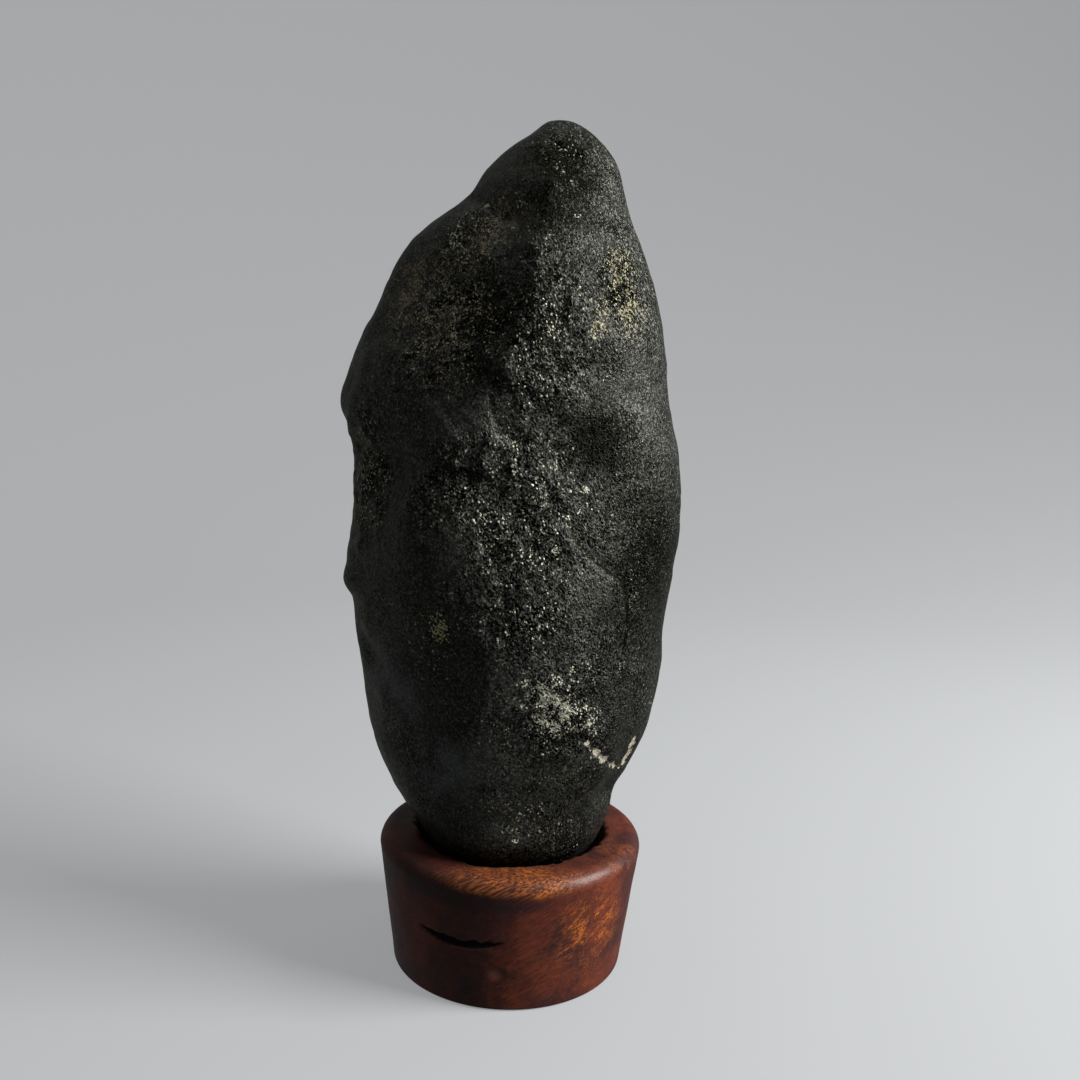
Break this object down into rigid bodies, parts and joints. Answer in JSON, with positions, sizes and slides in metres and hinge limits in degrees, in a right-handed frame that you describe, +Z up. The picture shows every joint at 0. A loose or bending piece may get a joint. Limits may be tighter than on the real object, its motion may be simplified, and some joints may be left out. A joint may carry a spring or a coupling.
{
  "type": "scholars rock on stand",
  "caption": "Tall dark river-worn scholar's rock with a leaning blunt peak, standing upright in the carved socket of a round tapered wooden stand.",
  "frame": {"origin": "centre of the stand's flat underside", "axes": "+Z up, -Y is the front that faces the viewer, +X to the viewer's right; the peak stands slightly right of the stand's axis"},
  "size_m": [0.081, 0.064, 0.1998],
  "materials": {
    "stone": "near-black greenish grey stone, water-worn, fine leathery grain with small glints and a few pale mineral patches",
    "wood": "reddish brown hardwood under a thin satin lacquer, streaky orange figure"
  },
  "bodies": {
    "root": {"stone": "stone", "stand": "wood"}
  },
  "joints": []
}
